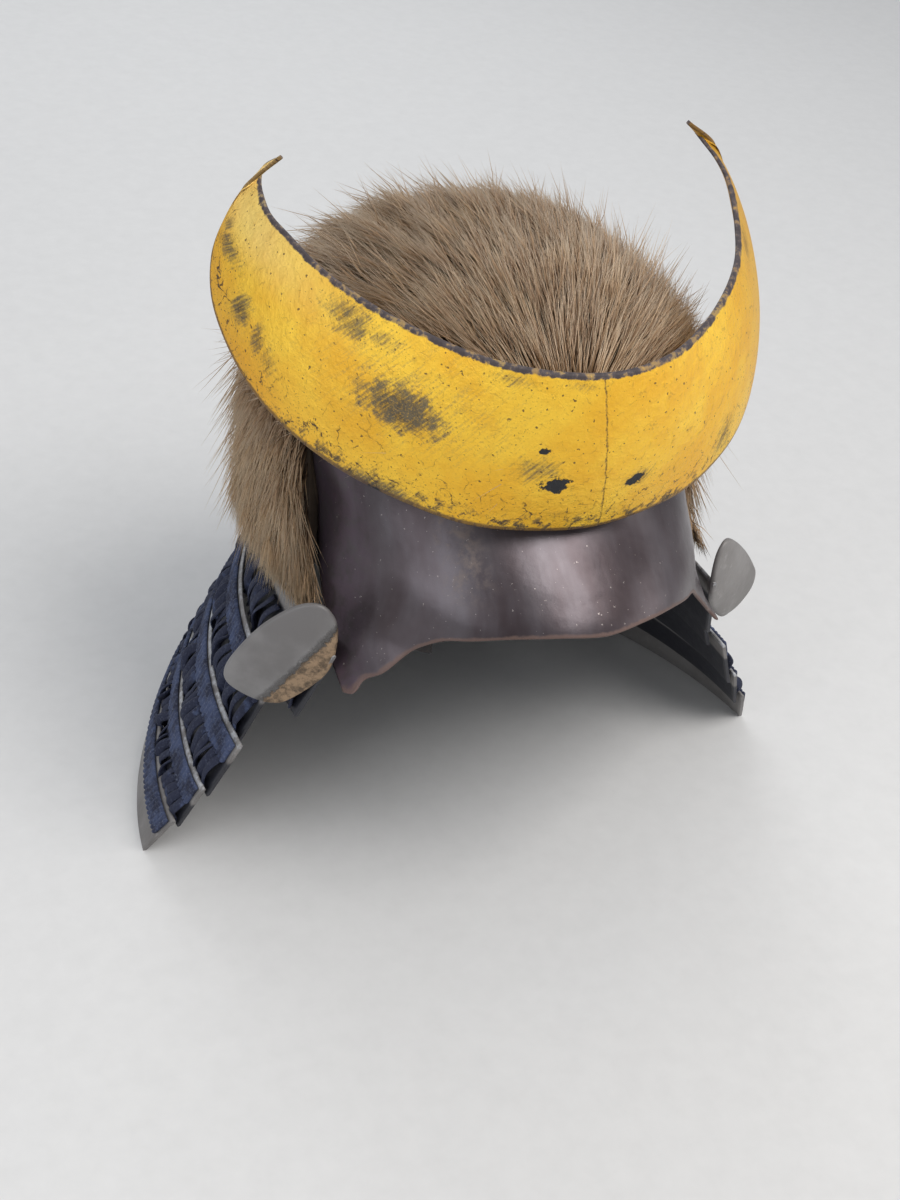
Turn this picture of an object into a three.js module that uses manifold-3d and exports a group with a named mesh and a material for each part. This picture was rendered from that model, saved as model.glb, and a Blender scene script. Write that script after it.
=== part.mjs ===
// A kabuto, the helmet of a Japanese armour: an iron bowl covered with animal hair, a flared brow
// plate, a gilded crescent in front and a laced neck guard of five lames with turned-back ears.
// Millimetres. +Z is up, the face looks along -Y, and the wearer's left is +X. The origin is the
// centre of the bowl's rim, where the head sits.

import * as THREE from 'three';
import { mergeVertices } from 'three/addons/utils/BufferGeometryUtils.js';
import Module from 'manifold-3d';

const wasm = await Module();
wasm.setup();

// ---------------------------------------------------------------- driving dimensions

const GAP = 0.4; // air between pieces that touch

const BOWL = { halfWidth: 99.5, reach: 109.5, height: 148, rimZ: 16, roundness: 3.8, wall: 2.2 };

const BROW = { wall: 2.2, columns: 24, rows: 7 };

const FUR = {
  middleY: -5, middleZ: 40, halfWidth: 118, front: 110, back: 140, topZ: 180, roundness: 2.4,
  whorl: { y: -100, z: 112 }, // the point above the brow that the hair falls away from
  fallRows: 8, hangRows: 4, lockDepth: 3.5, tipDrop: 6, leastDepth: 4,
};

const CREST = { wall: 4.6, edgeWall: 2.8, dome: 4.5, columns: 44, rows: 5 };

// In plan each lame is a horseshoe: a rounded back and straight cheeks in front of middleY.
const GUARD = { middleY: -45, wall: 2, columns: 32 };

// One row for the head and one for the foot of each lame, from the top: height, half-width, rear
// reach, front end, and roundness of the back, where 2 would be an ellipse.
const LAMES = [
  { name: 'neck_lame_1',
    head: { z: 2, half: 109.5, back: 126, front: -86, round: 2.1 },
    foot: { z: -42, half: 122, back: 136, front: -73, round: 2 } },
  { name: 'neck_lame_2',
    head: { z: -36, half: 128, back: 141, front: -54, round: 1.97 },
    foot: { z: -74, half: 143, back: 152, front: -48, round: 1.87 } },
  { name: 'neck_lame_3',
    head: { z: -68, half: 146, back: 157, front: -59, round: 1.87 },
    foot: { z: -103, half: 160.5, back: 167, front: -52, round: 1.79 } },
  { name: 'neck_lame_4',
    head: { z: -98, half: 163.5, back: 171, front: -53, round: 1.79 },
    foot: { z: -127, half: 174, back: 180, front: -45, round: 1.72 } },
  { name: 'neck_lame_5',
    head: { z: -122, half: 177.5, back: 184, front: -47, round: 1.72 },
    foot: { z: -150, half: 190, back: 194, front: -30, round: 1.66 } },
];

const LACING = { thick: 1.5, rowTop: 1.5, rowHeight: 11, tuck: 4, rib: 0.9, sag: 3, ruffle: 1.2, columns: 44 };

// ---------------------------------------------------------------- finishes

const finish = (color, roughness, metalness) => new THREE.MeshStandardMaterial({ color, roughness, metalness });
const lacqueredIron = finish(0x3d3538, 0.42, 0.6);
const darkIron = finish(0x2a2628, 0.6, 0.5);
const wornGold = finish(0xd79b25, 0.45, 0.55);
const hair = finish(0x8c6f52, 0.9, 0);
const greyLacquer = finish(0x75716f, 0.5, 0.2);
const navyCord = finish(0x27355c, 0.85, 0);

// ---------------------------------------------------------------- geometry helpers

const { lerp, degToRad } = THREE.MathUtils;
const steps = (count) => Array.from({ length: count + 1 }, (_, i) => i / count);
const point = (x, y, z) => new THREE.Vector3(x, y, z);

// Joins loose triangles, three corners each, into one indexed body whose faces point out.
function bodyFrom(corners) {
  let volume = 0;
  for (let i = 0; i < corners.length; i += 3) {
    volume += corners[i].dot(corners[i + 1].clone().cross(corners[i + 2]));
  }
  const ordered = volume > 0 ? corners : [...corners].reverse();
  const loose = new THREE.BufferGeometry().setFromPoints(ordered);
  const body = mergeVertices(loose, 1e-3);
  body.computeVertexNormals();
  return body;
}

// A sheet is a list of rows of points. This closes the space between an outer and an inner sheet; a
// ring also joins its last column to its first. A row or column may shrink to one point.
function wallBetween(outer, inner, ring = false) {
  const corners = [];
  const triangle = (a, b, c) => {
    if (a.distanceTo(b) > 1e-3 && b.distanceTo(c) > 1e-3 && c.distanceTo(a) > 1e-3) corners.push(a, b, c);
  };
  const quad = (a, b, c, d) => {
    triangle(a, b, c);
    triangle(a, c, d);
  };
  const lastRow = outer.length - 1;
  const columns = outer[0].length;
  const lastColumn = columns - 1;
  for (let c = 0; c < (ring ? columns : lastColumn); c++) {
    const d = (c + 1) % columns;
    for (let r = 0; r < lastRow; r++) {
      quad(outer[r][c], outer[r + 1][c], outer[r + 1][d], outer[r][d]);
      quad(inner[r][c], inner[r][d], inner[r + 1][d], inner[r + 1][c]);
    }
    quad(outer[0][c], outer[0][d], inner[0][d], inner[0][c]);
    quad(outer[lastRow][c], inner[lastRow][c], inner[lastRow][d], outer[lastRow][d]);
  }
  for (let r = 0; r < lastRow && !ring; r++) {
    quad(outer[r][0], inner[r][0], inner[r + 1][0], outer[r + 1][0]);
    quad(outer[r][lastColumn], outer[r + 1][lastColumn], inner[r + 1][lastColumn], inner[r][lastColumn]);
  }
  return bodyFrom(corners);
}

// A rounded-square cosine and sine: their powers 'roundness' add up to 1.
const roundCos = (angle, roundness) => Math.sign(Math.cos(angle)) * Math.abs(Math.cos(angle)) ** (2 / roundness);
const roundSin = (angle, roundness) => Math.sign(Math.sin(angle)) * Math.abs(Math.sin(angle)) ** (2 / roundness);

// ---------------------------------------------------------------- bowl

// A point on the bowl: 'around' runs from the front by the wearer's left, 'up' from rim to crown.
function bowlPoint(around, up, inset) {
  const spread = roundCos(up, BOWL.roundness);
  return point(
    (BOWL.halfWidth - inset) * spread * Math.sin(around),
    -(BOWL.reach - inset) * spread * Math.cos(around),
    (BOWL.height - inset) * roundSin(up, BOWL.roundness),
  );
}

function bowl() {
  const columns = steps(30).slice(0, -1).map((t) => t * 2 * Math.PI);
  const latitudes = [90, 72, 56, 42, 30, 19, 9, 2].map(degToRad);
  const sheet = (inset) => [
    ...latitudes.map((up) => columns.map((around) => bowlPoint(around, up, inset))),
    columns.map((around) => bowlPoint(around, 0, inset).setZ(BOWL.rimZ)),
  ];
  return wallBetween(sheet(0), sheet(BOWL.wall), true);
}

// ---------------------------------------------------------------- brow plate

// Sections from the top down: half-width, reach in front of the head's middle, and how far round
// the side edge lies, in degrees from the front.
const BROW_LEVELS = [
  { z: 92, half: 101.5, reach: 108, spread: 80 },
  { z: 80, half: 102, reach: 116, spread: 79 },
  { z: 57, half: 101, reach: 143, spread: 78 },
  { z: 43, half: 103, reach: 156, spread: 76.7 },
  { z: 31, half: 106, reach: 160, spread: 74.4 },
  { z: 15, half: 110, reach: 166, spread: 70.6 },
  { z: -4, half: 113, reach: 208, spread: 69.8 },
  { z: -12, half: 115, reach: 261, spread: 68.5 },
];

// Its lower edge: height at each share of the way from the middle to the pointed corner.
const BROW_EDGE = [
  { across: 0, z: 43 },
  { across: 0.18, z: 43.5 },
  { across: 0.35, z: 40 },
  { across: 0.455, z: 35 },
  { across: 0.55, z: 30 },
  { across: 0.62, z: 23 },
  { across: 0.7, z: 14 },
  { across: 0.88, z: -4 },
  { across: 0.96, z: -10 },
  { across: 1, z: -12 },
];

// The value in one column of a table, at a place between two rows of another column.
function tableValue(table, key, at, value) {
  const rising = table[0][key] < table[table.length - 1][key];
  const next = table.findIndex((row) => (rising ? row[key] >= at : row[key] <= at));
  if (next === 0) return table[0][value];
  if (next < 0) return table[table.length - 1][value];
  const [a, b] = [table[next - 1], table[next]];
  return lerp(a[value], b[value], (at - a[key]) / (b[key] - a[key]));
}

// The plate is a cone that flares out towards its foot, more in front than at the sides.
function browPoint(across, z, inset) {
  const level = (value) => tableValue(BROW_LEVELS, 'z', z, value);
  const around = degToRad(across * level('spread'));
  return point((level('half') - inset) * Math.sin(around), -(level('reach') - inset) * Math.cos(around), z);
}

function browPlate() {
  const sheet = (inset) =>
    steps(BROW.rows).map((down) =>
      steps(BROW.columns).map((t) => {
        const across = 2 * t - 1;
        const foot = tableValue(BROW_EDGE, 'across', Math.abs(across), 'z');
        return browPoint(across, lerp(BROW_LEVELS[0].z, foot, down), inset);
      }),
    );
  return wallBetween(sheet(0), sheet(BROW.wall));
}

// ---------------------------------------------------------------- crescent

// Cross-sections from the middle seam to the tip: the upper rim and the lower, outer edge.
const CREST_SECTIONS = [
  { rim: [0, -128, 168], edge: [0, -124, 85] },
  { rim: [29, -122, 169], edge: [31, -121, 87] },
  { rim: [55, -106, 171], edge: [60, -113, 91] },
  { rim: [78, -87, 177], edge: [88, -98, 100] },
  { rim: [96, -66, 183], edge: [110, -77, 108] },
  { rim: [109, -42, 189], edge: [128, -52, 119] },
  { rim: [117, -21, 196], edge: [139, -26, 133] },
  { rim: [121, -6, 200], edge: [144, 0, 153] },
  { rim: [121, 5, 204], edge: [142, 12, 173] },
  { rim: [119, 15, 208], edge: [135, 15, 191] },
  { rim: [115, 20, 213], edge: [125, 15, 207] },
  { rim: [108, 16, 219], edge: [108, 16, 219] },
];

const mirrored = (curve) => {
  const half = curve.map(([x, y, z]) => point(x, y, z));
  const other = half.slice(1).reverse().map((p) => point(-p.x, p.y, p.z));
  return new THREE.CatmullRomCurve3([...other, ...half], false, 'centripetal');
};
const crestRim = mirrored(CREST_SECTIONS.map((row) => row.rim));
const crestEdge = mirrored(CREST_SECTIONS.map((row) => row.edge));

// Points across the crescent lie on a shallow dome between rim and edge; 'side' is +1 on the gilded
// face and -1 on the back.
function crestPoint(along, across, side) {
  const rim = crestRim.getPoint(along);
  const edge = crestEdge.getPoint(along);
  const width = edge.clone().sub(rim);
  const run = crestRim.getTangent(along);
  const share = Math.min(1, width.length() / 80);
  const out = width.clone().cross(run).normalize();
  if (width.length() < 1e-6) out.set(Math.sign(rim.x), 0, 0);
  const crown = 4 * across * (1 - across);
  const thick = lerp(CREST.edgeWall, CREST.wall, crown) * lerp(0.45, 1, share);
  return rim.add(width.multiplyScalar(across)).addScaledVector(out, CREST.dome * share * crown + (side * thick) / 2);
}

function frontCrest() {
  const sheet = (side) =>
    steps(CREST.rows).map((across) => steps(CREST.columns).map((along) => crestPoint(along, across, side)));
  return wallBetween(sheet(1), sheet(-1));
}

// ---------------------------------------------------------------- hair cover

const furMiddle = point(0, FUR.middleY, FUR.middleZ);

// The hair is worked as columns of locks, each with the angle round the head, from the front, at
// which it crosses the shoulder and at which it ends. Above the brow plate it ends at the shoulder;
// the rest hangs down behind the plate's side edge.
const BROW_LOCKS = { count: 12, spread: 88.5 };
const HANGING_LOCKS = { count: 26, shoulderStart: 88.5, hemStart: 66 };
const SHOULDER = [
  { around: 0, z: 102 },
  { around: 60, z: 106 },
  { around: 89, z: 106 },
  { around: 180, z: 90 },
];
const HEM = [
  { around: 66, z: 12 },
  { around: 80, z: 8 },
  { around: 100, z: 3 },
  { around: 130, z: -3 },
  { around: 180, z: -3 },
];

function furColumns() {
  const { count, spread } = BROW_LOCKS;
  const brow = steps(count).map((t) => {
    const around = lerp(-spread, spread, t);
    return { shoulder: around, hem: around, hangs: false };
  });
  const { shoulderStart, hemStart } = HANGING_LOCKS;
  const hanging = steps(HANGING_LOCKS.count).map((t) => ({
    shoulder: lerp(shoulderStart, 360 - shoulderStart, t),
    hem: lerp(hemStart, 360 - hemStart, t),
    hangs: true,
  }));
  return [...brow, ...hanging];
}

const fromFront = (degrees) => Math.min(Math.abs(degrees), 360 - Math.abs(degrees));
const heightAt = (table, degrees) => tableValue(table, 'around', fromFront(degrees), 'z');

function insideHair(p) {
  const lengthwise = p.y < FUR.middleY ? FUR.front : FUR.back;
  const lift = Math.max(0, p.z - FUR.middleZ) / (FUR.topZ - FUR.middleZ);
  const n = FUR.roundness;
  return Math.abs(p.x / FUR.halfWidth) ** n + Math.abs((p.y - FUR.middleY) / lengthwise) ** n + lift ** n < 1;
}

// The hair's back lies on the bowl and, lower down, on the first lame.
const BACKING = { onBowl: 3.2, onLame: 2.6, lameTop: 45 };

function insideBacking(p) {
  const { onBowl, onLame, lameTop } = BACKING;
  const plan = Math.hypot(p.x / (BOWL.halfWidth + onBowl), p.y / (BOWL.reach + onBowl));
  const lift = Math.max(0, p.z) / (BOWL.height + onBowl);
  if (plan ** BOWL.roundness + lift ** BOWL.roundness < 1) return true;
  if (p.z > lameTop) return false;
  const lame = LAMES[0];
  const level = lameLevel(lame, (lame.head.z - p.z) / (lame.head.z - lame.foot.z));
  const back = Math.max(0, p.y - GUARD.middleY) / (level.back - GUARD.middleY + onLame);
  return Math.abs(p.x / (level.half + onLame)) ** level.round + back ** level.round < 1;
}

// How far a ray travels before it leaves a form.
function travel(inside, start, direction) {
  let [near, far] = [0, 300];
  for (let i = 0; i < 30; i++) {
    const middle = (near + far) / 2;
    if (inside(start.clone().addScaledVector(direction, middle))) near = middle;
    else far = middle;
  }
  return near;
}

// A place in a column: above the shoulder it is seen from the middle of the head, along a fall that
// starts at the whorl; below it is seen from the head's axis at its own height.
function furRay(column, row) {
  const shoulderZ = heightAt(SHOULDER, column.shoulder);
  const level = (degrees) => point(Math.sin(degToRad(degrees)), -Math.cos(degToRad(degrees)), 0);
  if (row > FUR.fallRows && column.hangs) {
    const down = (row - FUR.fallRows) / FUR.hangRows;
    const z = lerp(shoulderZ, heightAt(HEM, column.hem), down);
    return { start: furMiddle.clone().setZ(z), direction: level(lerp(column.shoulder, column.hem, down)) };
  }
  const fall = Math.min(1, row / FUR.fallRows);
  const axis = furMiddle.clone().setZ(shoulderZ);
  const outward = level(column.shoulder);
  const end = axis.addScaledVector(outward, travel(insideHair, axis, outward)).sub(furMiddle).normalize();
  const whorl = point(0, FUR.whorl.y, FUR.whorl.z).sub(furMiddle).normalize();
  const angle = whorl.angleTo(end);
  const direction = whorl
    .multiplyScalar(Math.sin((1 - fall) * angle) / Math.sin(angle))
    .addScaledVector(end, Math.sin(fall * angle) / Math.sin(angle));
  return { start: furMiddle, direction };
}

function furCover() {
  const columns = furColumns();
  const lock = (around, row) => Math.sin(around * 0.64 + Math.sin(row * 1.1 + around * 0.1));
  const outer = [];
  const inner = [];
  for (let row = 0; row <= FUR.fallRows + FUR.hangRows; row++) {
    const last = row === FUR.fallRows + FUR.hangRows;
    const places = columns.map((column, c) => {
      const { start, direction } = furRay(column, row);
      const depth = travel(insideBacking, start, direction);
      const height = Math.max(travel(insideHair, start, direction), depth + FUR.leastDepth);
      const usedRow = column.hangs ? row : Math.min(row, FUR.fallRows);
      const fade = Math.min(1, (2 * row) / FUR.fallRows);
      const relief = FUR.lockDepth * fade * lock(fromFront(column.shoulder), usedRow);
      const outside = start.clone().addScaledVector(direction, Math.max(height + relief, depth + FUR.leastDepth));
      if (last && column.hangs && c % 2 === 0) outside.z -= FUR.tipDrop;
      return { outside, inside: start.clone().addScaledVector(direction, depth) };
    });
    outer.push(places.map((place) => place.outside));
    inner.push(places.map((place) => place.inside));
  }
  return wallBetween(outer, inner, true);
}

// ---------------------------------------------------------------- neck guard

// A point of the guard's horseshoe at one level. 'share' runs from the wearer's right front end (-1)
// round the back (0) to the left front end (+1).
function guardPoint(share, level, inset = 0) {
  const half = level.half - inset;
  const reach = level.back - GUARD.middleY - inset;
  const quarter = 1.6 * level.half;
  const along = Math.abs(share) * (quarter + GUARD.middleY - level.front);
  const angle = (Math.PI / 2) * Math.min(1, along / quarter);
  return point(
    Math.sign(share) * half * roundSin(angle, level.round),
    GUARD.middleY + reach * roundCos(angle, level.round) - Math.max(0, along - quarter),
    level.z,
  );
}

// A lame's outer face, 'down' of the way from head to foot.
function lameLevel(lame, down) {
  const level = {};
  for (const key of ['z', 'half', 'back', 'front', 'round']) level[key] = lerp(lame.head[key], lame.foot[key], down);
  return level;
}

function lameSheet(lame, inset) {
  return [0, 0.5, 1].map((down) =>
    steps(GUARD.columns).map((t) => guardPoint(2 * t - 1, lameLevel(lame, down), inset)),
  );
}

const plainLame = (lame) => wallBetween(lameSheet(lame, 0), lameSheet(lame, GUARD.wall));

// The ear that the first lame's front end is turned back into: its outline, as distance out from
// the fold and height on the wearer's right and left.
const EAR = {
  foldX: 108, foldY: -86, tipX: 151, tipY: -62, wall: 3, dome: 3,
  outline: [
    { out: 2, right: 22, left: 20 },
    { out: 9, right: 30, left: 25 },
    { out: 20, right: 28, left: 18 },
    { out: 34, right: 16, left: 5 },
    { out: 46, right: 0, left: -8 },
    { out: 53, right: -13, left: -18 },
    { out: 52, right: -22, left: -27 },
    { out: 41, right: -29, left: -32 },
    { out: 29, right: -31, left: -32 },
    { out: 20, right: -26, left: -29 },
    { out: 5, right: -9, left: -12 },
    { out: 1, right: 8, left: 6 },
  ],
};

function ear(side) {
  const rimPoints = EAR.outline.map((row) => new THREE.Vector2(row.out, side < 0 ? row.right : row.left));
  const outline = new THREE.SplineCurve([...rimPoints, rimPoints[0]]).getPoints(26).slice(0, -1);
  const centre = outline.reduce((sum, p) => sum.add(p), new THREE.Vector2()).divideScalar(outline.length);
  const out = point(side * (EAR.tipX - EAR.foldX), EAR.tipY - EAR.foldY, 0).normalize();
  const facing = point(side * out.y, -Math.abs(out.x), 0);
  const sheet = (depth) =>
    [1, 0.66, 0.3, 0].map((spread) =>
      outline.map((p) => {
        const q = p.clone().sub(centre).multiplyScalar(spread).add(centre);
        const crown = EAR.dome * (1 - spread ** 2) - depth;
        return point(side * EAR.foldX, EAR.foldY, q.y).addScaledVector(out, q.x).addScaledVector(facing, crown);
      }),
    );
  return wallBetween(sheet(0), sheet(EAR.wall), true);
}

function toSolid(geometry) {
  const bare = geometry.clone().deleteAttribute('normal');
  return new wasm.Manifold(
    new wasm.Mesh({
      numProp: 3,
      vertProperties: new Float32Array(bare.attributes.position.array),
      triVerts: new Uint32Array(bare.index.array),
    }),
  );
}

function fromSolid(solid) {
  const { vertProperties, triVerts } = solid.getMesh();
  const geometry = new THREE.BufferGeometry();
  geometry.setAttribute('position', new THREE.BufferAttribute(vertProperties, 3));
  geometry.setIndex(new THREE.BufferAttribute(triVerts, 1));
  geometry.computeVertexNormals();
  return geometry;
}

// The first lame runs on into the two ears, so the three are one solid.
function firstLame(lame) {
  return fromSolid(toSolid(plainLame(lame)).add(toSolid(ear(1))).add(toSolid(ear(-1))));
}

const BAND = { wall: 2, offset: 0.8, topZ: 22, footZ: -6, front: -30 };

// The band round the bowl's base that carries the guard, hidden under the hair: its top lies on the
// bowl and its foot inside the first lame.
function waistBand() {
  const foot = { ...LAMES[0].head, z: BAND.footZ, front: BAND.front };
  const sheet = (inset) =>
    steps(2).map((down) =>
      steps(30).map((t) => {
        const low = guardPoint(2 * t - 1, foot, GUARD.wall + BAND.offset + inset);
        const around = Math.atan2(low.x / BOWL.halfWidth, -low.y / BOWL.reach);
        const high = bowlPoint(around, 0, -BAND.offset - BAND.wall + inset);
        return high.lerp(low, down).setZ(lerp(BAND.topZ, BAND.footZ, down));
      }),
    );
  return wallBetween(sheet(0), sheet(BAND.wall));
}

// ---------------------------------------------------------------- lacing

// The stitched row that covers a lame just below its head, ribbed by its cords.
function lacingRow(lame) {
  const height = lame.head.z - lame.foot.z;
  const sheet = (inset) =>
    [LACING.rowTop, LACING.rowTop + LACING.rowHeight].map((depth) =>
      steps(LACING.columns).map((t, column) => {
        const level = lameLevel(lame, depth / height);
        level.front += 3;
        const rib = inset === 0 && column % 2 ? LACING.rib : 0;
        return guardPoint(2 * t - 1, level, inset - GAP - LACING.thick - rib);
      }),
    );
  return wallBetween(sheet(0), sheet(LACING.thick));
}

// The cords that hang free from one lame down behind the head of the next, in a row of loose ruffles.
function lacingDrop(upper, lower) {
  const topZ = upper.head.z - LACING.rowTop - LACING.rowHeight - GAP;
  const footZ = lower.head.z - LACING.tuck;
  const height = upper.head.z - upper.foot.z;
  const sheet = (inset) =>
    [0, 0.45, 0.8, 1].map((down) =>
      steps(LACING.columns).map((t, column) => {
        const level = lameLevel(upper, (upper.head.z - lerp(topZ, footZ, down)) / height);
        level.front += 4;
        const crown = Math.sin(Math.PI * Math.min(1, down * 1.25)) ** 0.8;
        const bulge = crown * (LACING.sag + (column % 2 ? LACING.ruffle : -LACING.ruffle));
        return guardPoint(2 * t - 1, level, inset - GAP - LACING.thick - bulge);
      }),
    );
  return wallBetween(sheet(0), sheet(LACING.thick));
}

// ---------------------------------------------------------------- small fittings

// A plain post from the brow plate to the back of the crescent.
function crestPost() {
  const post = new THREE.BoxGeometry(26, 9, 10);
  post.translate(0, -117.6, 92);
  return post;
}

// A small tab fixed inside the brow plate that shows under its lower edge.
function innerTab() {
  const tab = new THREE.BoxGeometry(10, 2.4, 17);
  tab.rotateZ(degToRad(-38));
  tab.translate(-72, -107, 22);
  return tab;
}

// ---------------------------------------------------------------- assembly

const kabuto = new THREE.Group();

function add(name, geometry, material) {
  const mesh = new THREE.Mesh(geometry, material);
  mesh.name = name;
  kabuto.add(mesh);
}

add('bowl', bowl(), darkIron);
add('waist_band', waistBand(), darkIron);
add('brow_plate', browPlate(), lacqueredIron);
add('inner_tab', innerTab(), darkIron);
add('crest_post', crestPost(), darkIron);
add('front_crest', frontCrest(), wornGold);
add('fur_cover', furCover(), hair);
add(LAMES[0].name, firstLame(LAMES[0]), greyLacquer);
for (const lame of LAMES.slice(1)) add(lame.name, plainLame(lame), greyLacquer);
for (let i = 1; i < LAMES.length; i++) {
  add(`lacing_row_${i + 1}`, lacingRow(LAMES[i]), navyCord);
  add(`lacing_drop_${i}`, lacingDrop(LAMES[i - 1], LAMES[i]), navyCord);
}

export default kabuto;
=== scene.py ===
# %% [markdown]
# # Dressing a kabuto
# A kabuto is the helmet of a Japanese armour. This one has an iron bowl under an animal's pelt, a
# deep brow plate, a gilded crescent in front and a laced neck guard. The solids of its pieces come
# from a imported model. Each step below lays a finer surface over one of them and gives it a finish,
# so the sizes repeat those of the solids: millimetres, +Z up, the face looking along -Y.

import math
from functools import reduce

import bmesh
import bpy
import numpy as np
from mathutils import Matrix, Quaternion, Vector


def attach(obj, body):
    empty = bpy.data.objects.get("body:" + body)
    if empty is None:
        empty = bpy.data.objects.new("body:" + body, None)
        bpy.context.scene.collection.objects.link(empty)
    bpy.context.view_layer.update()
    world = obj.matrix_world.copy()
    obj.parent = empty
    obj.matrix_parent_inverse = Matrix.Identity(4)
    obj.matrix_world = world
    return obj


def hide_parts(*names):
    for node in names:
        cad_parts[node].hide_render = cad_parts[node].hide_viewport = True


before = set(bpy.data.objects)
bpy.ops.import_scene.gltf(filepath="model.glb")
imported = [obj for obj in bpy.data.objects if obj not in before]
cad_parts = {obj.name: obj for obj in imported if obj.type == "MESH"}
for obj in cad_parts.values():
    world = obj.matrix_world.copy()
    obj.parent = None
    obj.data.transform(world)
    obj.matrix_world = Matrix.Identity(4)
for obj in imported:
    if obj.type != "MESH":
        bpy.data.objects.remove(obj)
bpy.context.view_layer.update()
MM = 0.001

# %% [markdown]
# ## The studio
# The helmet stands on its neck guard on a pale floor. A long lens keeps its shape true. The camera
# looks down on the wearer's right side of the brow and leans a little.
# A lamp's place could be set by trial; here each soft box is named for the job it does.

# %% Camera
VIEW = {"azimuth": -27.8, "elevation": 35.8, "lean": 6.6, "distance": 1.0667, "lens": 57.0}
LOOK_AT = Vector((0.0, 0.0061, -0.0506))

azimuth, elevation = math.radians(VIEW["azimuth"]), math.radians(VIEW["elevation"])
towards_camera = Vector(
    (math.sin(azimuth) * math.cos(elevation), -math.cos(azimuth) * math.cos(elevation), math.sin(elevation))
)
camera = bpy.data.objects.new("studio_camera", bpy.data.cameras.new("studio_camera"))
bpy.context.scene.collection.objects.link(camera)
camera.data.lens = VIEW["lens"]
camera.data.sensor_width = 36.0
camera.data.clip_end = 50.0
camera.location = LOOK_AT + towards_camera * VIEW["distance"]
camera.rotation_mode = "QUATERNION"
lean = Quaternion((0, 0, 1), math.radians(VIEW["lean"]))
camera.rotation_quaternion = (-towards_camera).to_track_quat("-Z", "Y") @ lean
bpy.context.scene.camera = camera
print("camera at", tuple(round(v, 3) for v in camera.location))

# %% Soft boxes and room light
SOFT_BOXES = [  # name, place, side, watts, tint
    ("overhead", (0.35, -0.85, 1.45), 0.9, 20.0, (1.0, 0.97, 0.94)),
    ("left_fill", (-1.6, -0.5, 0.7), 1.2, 8.0, (0.93, 0.96, 1.0)),
    ("right_fill", (1.5, -0.9, 0.5), 0.9, 5.0, (1.0, 0.96, 0.92)),
    ("back_rim", (0.2, 1.5, 1.1), 1.0, 9.0, (0.96, 0.98, 1.0)),
]
AIM = Vector((0, 0, 0.03))
for name, place, side, watts, tint in SOFT_BOXES:
    lamp = bpy.data.lights.new(name, "AREA")
    lamp.shape = "SQUARE"
    lamp.size = side
    lamp.energy = watts
    lamp.color = tint
    holder = bpy.data.objects.new(name, lamp)
    bpy.context.scene.collection.objects.link(holder)
    holder.location = place
    holder.rotation_mode = "QUATERNION"
    holder.rotation_quaternion = (AIM - Vector(place)).to_track_quat("-Z", "Y")

world = bpy.data.worlds.new("room")
world.use_nodes = True
world.node_tree.nodes["Background"].inputs["Color"].default_value = (0.86, 0.88, 0.92, 1.0)
world.node_tree.nodes["Background"].inputs["Strength"].default_value = 0.55
bpy.context.scene.world = world
bpy.context.scene.view_settings.view_transform = "Standard"
print("soft boxes:", len(SOFT_BOXES))

# %% [markdown]
# ## Writing shader maths as expressions
# A material's pattern is a formula over the surface. Nodes could be added one by one, but a formula
# reads better as Python, so a small class wraps a socket and turns + - * / into Math nodes.

# %% A value on its way through a material
class Field:
    """One number, colour or vector that varies over a surface, with the operators that numbers have."""

    def __init__(self, finish, socket):
        self.finish = finish
        self.socket = socket

    def math(self, operation, *values):
        inputs = dict(enumerate((self, *values)))
        return self.finish.node("ShaderNodeMath", {"operation": operation}, inputs)

    def __add__(self, other):
        return self.math("ADD", other)

    def __mul__(self, other):
        return self.math("MULTIPLY", other)

    def __sub__(self, other):
        return self.math("SUBTRACT", other)

    def __rsub__(self, other):
        return self * -1.0 + other

    __radd__ = __add__
    __rmul__ = __mul__

    def power(self, exponent):
        return self.math("POWER", exponent)

    def most(self, other):
        return self.math("MAXIMUM", other)

    def least(self, other):
        return self.math("MINIMUM", other)

    def size(self):
        return self.math("ABSOLUTE")

    def step(self, low, high):
        """0 below low, 1 above high and a smooth rise between; low may be the larger."""
        ranges = {"interpolation_type": "SMOOTHSTEP", "clamp": True}
        if low > high:
            return 1.0 - self.step(high, low)
        inputs = {"Value": self, "From Min": low, "From Max": high}
        return self.finish.node("ShaderNodeMapRange", ranges, inputs)


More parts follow.
